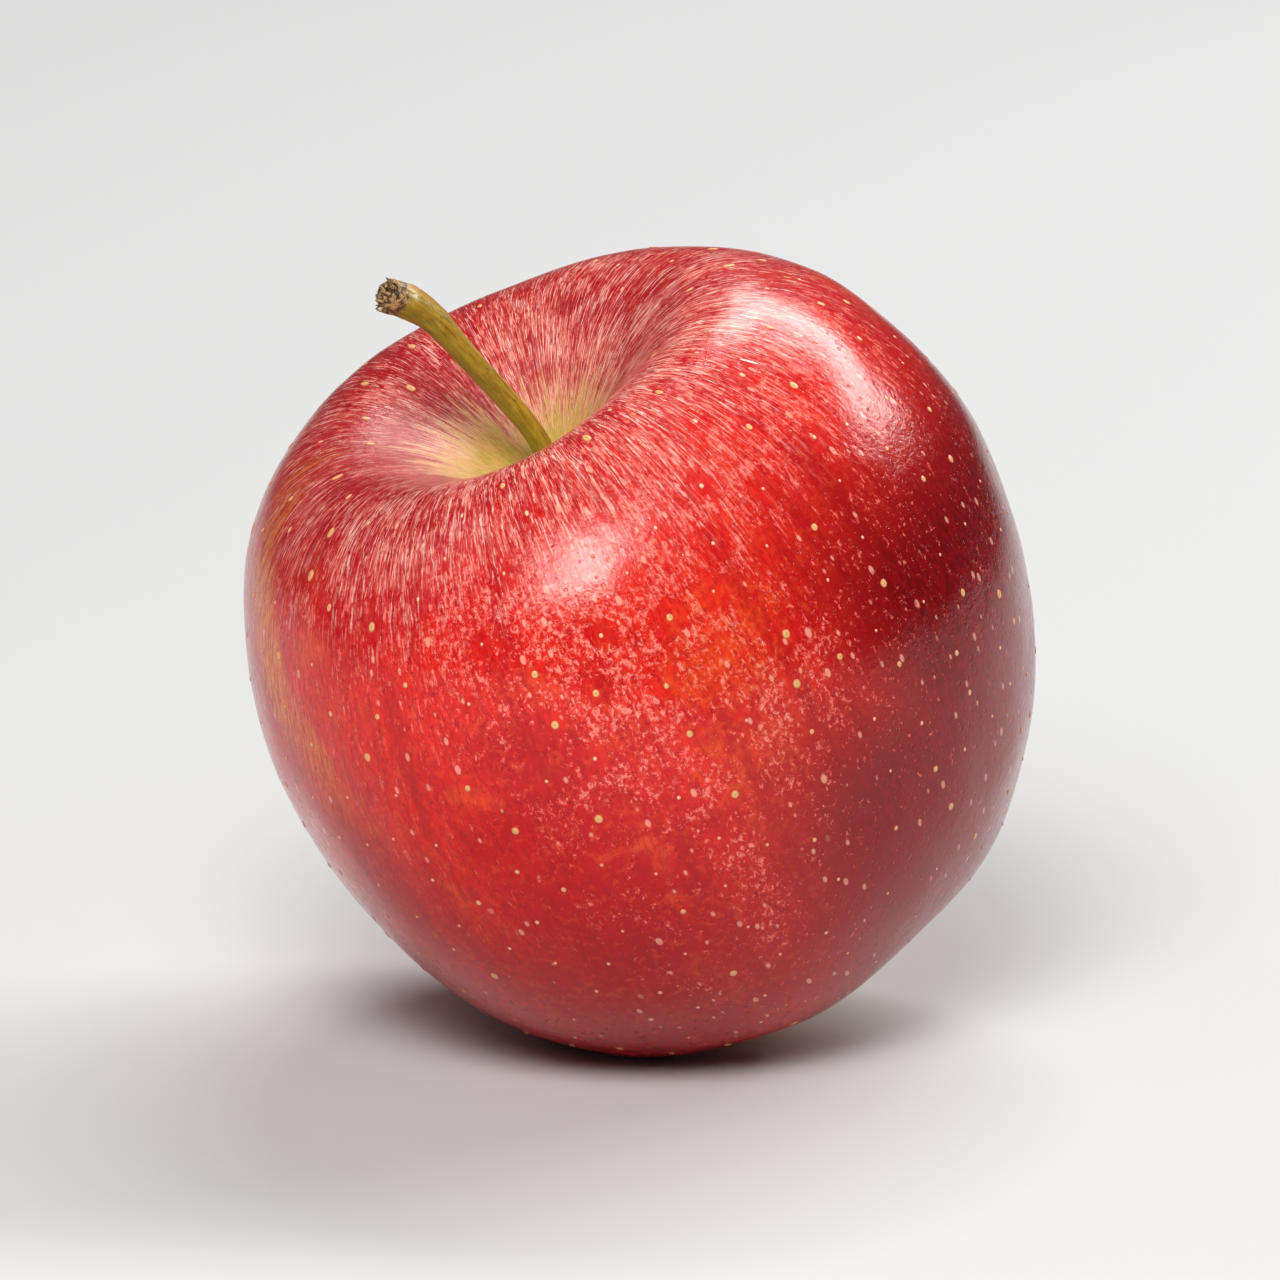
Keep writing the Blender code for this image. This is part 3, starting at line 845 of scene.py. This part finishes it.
def bark_material():
    material, tree, shader = new_material("stem_bark", IOR=1.48, Coat_Weight=0.3, Coat_Roughness=0.2)
    flow = stored(tree, "flow")
    cork = stored(tree, "cork", "Fac")
    travelled = part(flow, "Z")
    sunned_and_lit_side = vectors("DOT_PRODUCT", flow, (-0.62 / MM, -0.78 / MM, 0))
    fibres = grain(stretched(flow, (1, 1, 0.10)), 3000, 4, 0.7, 0.3)
    mottle = grain(flow, 650, 3, 0.6)
    cells = grain(flow, 5200, 2, 0.7)

    bark = tint(ramp(fibres, 0.36, 0.62), BARK_DARK, BARK_GOLD)
    bark = tint(ramp(mottle, 0.48, 0.64, 0.0, 0.45), bark, BARK_GREEN)
    # The sunned side: real browning with a painted highlight; the opposite side: painted shade.
    sun_and_highlight = ramp(plus(sunned_and_lit_side, maths("MULTIPLY_ADD", mottle, 1.6, -0.8)), 0.25, 0.95)
    bark = tint(times(sun_and_highlight, 0.85), bark, BARK_SUNNED_AND_LIT)
    shade = ramp(plus(sunned_and_lit_side, maths("MULTIPLY_ADD", mottle, 0.8, -0.4)), -0.35, -0.95)
    bark = tint(times(shade, 0.6), bark, BARK_SHADED)
    bark = tint(ramp(cells, 0.60, 0.70, 0.0, 0.35), bark, BARK_CELLS)
    bark = tint(ramp(travelled, 7.5 * MM, 3.0 * MM, 0.0, 0.65), bark, BARK_FOOT)
    specks = ramp(grain(stretched(flow, (1, 1, 0.5), (0.1, 0.2, 0)), 2100, 1, 0.5), 0.66, 0.74)
    bark = tint(times(specks, 0.6), bark, BARK_SPECKS)
    broken = tint(ramp(grain(flow, 2300, 3, 0.75, 0.5), 0.42, 0.62), BREAK_DARK, BREAK_PALE)
    edge = ramp(plus(cork, maths("MULTIPLY_ADD", fibres, 0.7, -0.35)), 0.25, 0.75)
    bark = tint(edge, bark, broken)
    tree.links.new(bark, shader.inputs["Base Color"])
    tree.links.new(maths("MULTIPLY_ADD", edge, 0.42, 0.30), shader.inputs["Roughness"])
    relief = plus(fibres, times(cells, 0.3))
    tree.links.new(bump(relief, 0.16 * MM), shader.inputs["Normal"])
    return material


stem = stem_mesh()
stem.materials.append(bark_material())
new_piece("stem_bark", stem, ["stem"])


# ---- Sepals -----------------------------------------------------------------------------------------------
# Five small leaves that wrapped the blossom, dried brown and curled together over the eye under the fruit.
# Each is a thin, downy blade with a midrib and a ragged edge, grown on where the basin meets the eye.

SEPAL_ROUTE = ((2.9, 6.2), (3.0, 5.0), (2.5, 4.1), (1.9, 3.3), (1.8, 2.4), (2.5, 1.6), (3.5, 1.4))
SEPAL_COUNT = 5
SEPAL_ROOT_WIDTH = 2.7 * MM
SEPAL_TIP_WIDTH = 0.5 * MM
SEPAL_CUP = 0.35 * MM
SEPAL_THICKNESS = 0.22 * MM
SEPAL_STATIONS = 36
SEPAL_COLUMNS = 13
HUSK_BROWN = (0.085, 0.045, 0.020)
HUSK_TAN = (0.26, 0.17, 0.075)
HUSK_ROOT = (0.24, 0.22, 0.06)
HUSK_DOWN = (0.55, 0.47, 0.34)


def sepal_mesh(number):
    azimuth = LOBE_AZIMUTH + (number + 0.5) * math.tau / SEPAL_COUNT
    curl = 1 + 0.14 * math.sin(2.4 * number)
    route = smooth_line(SEPAL_ROUTE, SEPAL_STATIONS) * MM
    start = route[0].copy()
    route = start + (route - start) * curl
    outward = Vector((math.cos(azimuth), math.sin(azimuth), 0))
    beside = Vector((-math.sin(azimuth), math.cos(azimuth), 0))
    blade = bmesh.new()
    flow = blade.verts.layers.float_vector.new("flow")
    rows = []
    for index, (radius, height) in enumerate(route):
        along = index / (SEPAL_STATIONS - 1)
        before, after = route[max(index - 1, 0)], route[min(index + 1, SEPAL_STATIONS - 1)]
        heading = Vector((after[0] - before[0], after[1] - before[1])).normalized()
        inner = outward * -heading.y + Vector((0, 0, heading.x))
        half = 0.5 * (SEPAL_TIP_WIDTH + (SEPAL_ROOT_WIDTH - SEPAL_TIP_WIDTH) * (1 - along**1.2))
        row = []
        for column in range(SEPAL_COLUMNS):
            across = 2 * column / (SEPAL_COLUMNS - 1) - 1
            fray = 1 + 0.22 * noise.noise(Vector((along * 13, across * 2, number * 7.0))) * abs(across) ** 3
            wrinkle = 0.10 * MM * noise.noise(Vector((along * 9, across * 3, number * 3.0 + 20)))
            rib = 0.10 * MM * math.exp(-((across / 0.16) ** 2)) * (1 - along)
            side_ribs = 0.03 * MM * math.cos(across * 14) * (1 - along)
            lift = SEPAL_CUP * across**2 + wrinkle - rib + side_ribs
            place = outward * radius + Vector((0, 0, height)) + beside * across * half * fray + inner * lift
            vertex = blade.verts.new(place)
            vertex[flow] = (across * half, along * 9 * MM, number * MM)
            row.append(vertex)
        rows.append(row)
    for lower, upper in zip(rows, rows[1:]):
        for column in range(SEPAL_COLUMNS - 1):
            blade.faces.new((lower[column], lower[column + 1], upper[column + 1], upper[column]))
    bmesh.ops.solidify(blade, geom=blade.faces[:], thickness=SEPAL_THICKNESS)
    return settled(blade, f"sepal_{number + 1}_blade")


def sepal_material():
    material, tree, shader = new_material(
        "dried_sepal", Roughness=0.82, IOR=1.45, Sheen_Weight=0.35, Sheen_Roughness=0.5)
    flow = stored(tree, "flow")
    along = part(flow, "Y")
    veins = grain(stretched(flow, (1, 0.25, 1)), 3000, 3, 0.65)
    down = grain(flow, 9000, 2, 0.7)
    blade = tint(ramp(veins, 0.38, 0.64), HUSK_BROWN, HUSK_TAN)
    blade = tint(ramp(along, 2.5 * MM, 0.0, 0.0, 0.7), blade, HUSK_ROOT)
    blade = tint(ramp(down, 0.56, 0.68, 0.0, 0.55), blade, HUSK_DOWN)
    tree.links.new(blade, shader.inputs["Base Color"])
    relief = plus(veins, times(down, 0.5))
    tree.links.new(bump(relief, 0.08 * MM), shader.inputs["Normal"])
    return material


dried = sepal_material()
for number in range(SEPAL_COUNT):
    sepal = sepal_mesh(number)
    sepal.materials.append(dried)
    new_piece(f"sepal_{number + 1}_blade", sepal, [f"sepal_{number + 1}"])


# ---- Stamens ----------------------------------------------------------------------------------------------
# What is left of the flower inside the calyx: hair-fine dry filaments with shrunken anthers, rooted in a
# ring on the floor of the eye. Geometry Nodes set them out and turn each its own way.

STAMEN_DARK = (0.05, 0.028, 0.014)
STAMEN_TAN = (0.20, 0.12, 0.05)


def stamen_tree():
    tree, given, result = new_geometry_tree("apple_stamens", {
        "Count": "Int", "Ring Radius": "Float", "Floor": "Float", "Length": "Float", "Thickness": "Float",
        "Anther": "Float", "Seed": "Int", "Dry": "Material"})
    value = given.outputs

    def chance(low, high, offset):
        inputs = {"Min": low, "Max": high, "Seed": plus(value["Seed"], offset)}
        return add(tree, "FunctionNodeRandomValue", inputs, data_type="FLOAT").outputs[1]

    def ring(resolution, radius):
        inputs = {"Resolution": resolution, "Radius": radius}
        return add(tree, "GeometryNodeCurvePrimitiveCircle", inputs).outputs["Curve"]

    floor_ring = ring(value["Count"], value["Ring Radius"])
    roots = add(tree, "GeometryNodeCurveToPoints", {0: floor_ring}, mode="EVALUATED").outputs["Points"]
    shift = compose(X=chance(-0.5 * MM, 0.5 * MM, 1), Y=chance(-0.5 * MM, 0.5 * MM, 2), Z=value["Floor"])
    roots = changed(roots, "SetPosition", Offset=shift)
    height = times(value["Length"], -1.0)
    tip = compose(X=times(value["Length"], 0.22), Z=height)
    bow = compose(X=times(value["Length"], -0.16), Z=times(height, 0.5))
    filament = add(tree, "GeometryNodeCurveQuadraticBezier", {
        "Resolution": 8, "Start": (0, 0, 0), "Middle": bow, "End": tip}).outputs[0]
    filament = changed(filament, "CurveToMesh", Profile_Curve=ring(6, value["Thickness"]), Fill_Caps=True)
    anther = add(tree, "GeometryNodeMeshIcoSphere", {"Radius": value["Anther"], "Subdivisions": 2})
    anther = changed(anther.outputs["Mesh"], "Transform", Translation=tip, Scale=(1, 0.7, 1.7))
    stamen = joined(filament, anther)
    turn = compose(X=chance(-0.45, 0.45, 3), Y=chance(-0.45, 0.45, 4), Z=chance(0.0, math.tau, 5))
    stamens = changed(roots, "InstanceOnPoints", Instance=stamen, Rotation=turn, Scale=chance(0.6, 1.1, 6))
    stamens = changed(stamens, "RealizeInstances")
    stamens = changed(stamens, "SetMaterial", Material=value["Dry"])
    tree.links.new(changed(stamens, "SetShadeSmooth", Shade_Smooth=True), result.inputs[0])
    return tree


def stamen_material():
    material, tree, shader = new_material("dry_stamen", Roughness=0.8)
    place = add(tree, "ShaderNodeTexCoord").outputs["Object"]
    husk = tint(ramp(grain(place, 2500, 2, 0.6), 0.35, 0.65), STAMEN_DARK, STAMEN_TAN)
    tree.links.new(husk, shader.inputs["Base Color"])
    return material


stamens = grow("stamens", stamen_tree(), {
    "Count": 18, "Ring Radius": 1.1 * MM, "Floor": 7.0 * MM, "Length": 3.4 * MM, "Thickness": 0.07 * MM,
    "Anther": 0.16 * MM, "Seed": 5, "Dry": stamen_material()})
stamens.transform(from_axis)
new_piece("stamens", stamens, [])


# ---- Studio -----------------------------------------------------------------------------------------------
# The apple stands on a seamless pale sweep whose colour is painted darker far out, a painted falloff of the
# light. A soft box with its bulb bright in its middle hangs in front, a long strip light stands behind the
# right shoulder, and a weak light fills the left.

CAMERA_ELEVATION = math.radians(14)
CAMERA_DISTANCE = 1.1
APPLE_SHARE = 0.63
SWEEP_NEAR = (0.60, 0.60, 0.597)
SWEEP_FAR_SHADE = (0.18, 0.18, 0.179)

low_corner, high_corner = (Vector(corner) for corner in cad_box)
middle = (low_corner + high_corner) / 2
widest = max(high_corner.x - low_corner.x, high_corner.z - low_corner.z)

camera_data = bpy.data.cameras.new("camera")
camera_data.sensor_width = 36.0
camera_data.lens = camera_data.sensor_width * CAMERA_DISTANCE * APPLE_SHARE / widest
camera_data.clip_start = 0.05
camera = bpy.data.objects.new("camera", camera_data)
bpy.context.scene.collection.objects.link(camera)
back = Vector((0, -math.cos(CAMERA_ELEVATION), math.sin(CAMERA_ELEVATION)))
camera.location = middle + back * CAMERA_DISTANCE
camera.rotation_euler = back.to_track_quat("Z", "Y").to_euler()
bpy.context.scene.camera = camera


def soft_box(name, azimuth, elevation, distance, size, power, roll=0):
    """A rectangular light aimed at the apple from an azimuth, 0 in front and rising to the right."""
    data = bpy.data.lights.new(name, "AREA")
    data.shape = "RECTANGLE"
    data.size, data.size_y = size
    data.energy = power
    light = bpy.data.objects.new(name, data)
    bpy.context.scene.collection.objects.link(light)
    turn, rise = math.radians(azimuth), math.radians(elevation)
    toward = Vector((math.sin(turn) * math.cos(rise), -math.cos(turn) * math.cos(rise), math.sin(rise)))
    light.location = middle + toward * distance
    turned = toward.to_track_quat("Z", "Y") @ Quaternion((0, 0, 1), math.radians(roll))
    light.rotation_euler = turned.to_euler()


soft_box("front_box", -9, 44, 1.1, (0.66, 0.50), 8.6)
soft_box("front_bulb", -9, 44, 1.08, (0.38, 0.30), 4.3)
soft_box("shoulder_strip", 142, 46, 1.2, (1.40, 0.20), 16.5, roll=25)
soft_box("left_fill", -84, 40, 1.6, (0.9, 0.9), 1.4)

world = bpy.data.worlds.new("white_room")
world.use_nodes = True
world.node_tree.nodes["Background"].inputs["Color"].default_value = (1.0, 1.0, 1.0, 1.0)
world.node_tree.nodes["Background"].inputs["Strength"].default_value = 0.08
bpy.context.scene.world = world
bpy.context.scene.view_settings.view_transform = "Standard"

sweep_material, sweep_tree, sweep_shader = new_material("pale_sweep", Roughness=0.6, Specular_IOR_Level=0.2)
place = sweep_tree.nodes.new("ShaderNodeTexCoord").outputs["Object"]
away = vectors("LENGTH", place)
# Painted falloff: the sweep's colour darkens with distance from the apple, as if the light dimmed far out.
painted_falloff = tint(ramp(away, 0.5, 1.8), SWEEP_NEAR, SWEEP_FAR_SHADE)
sweep_tree.links.new(painted_falloff, sweep_shader.inputs["Base Color"])
bpy.ops.mesh.primitive_plane_add(size=8.0, location=(0, 0, low_corner.z))
sweep = bpy.context.object
sweep.name = "pale_sweep"
sweep.data.materials.append(sweep_material)
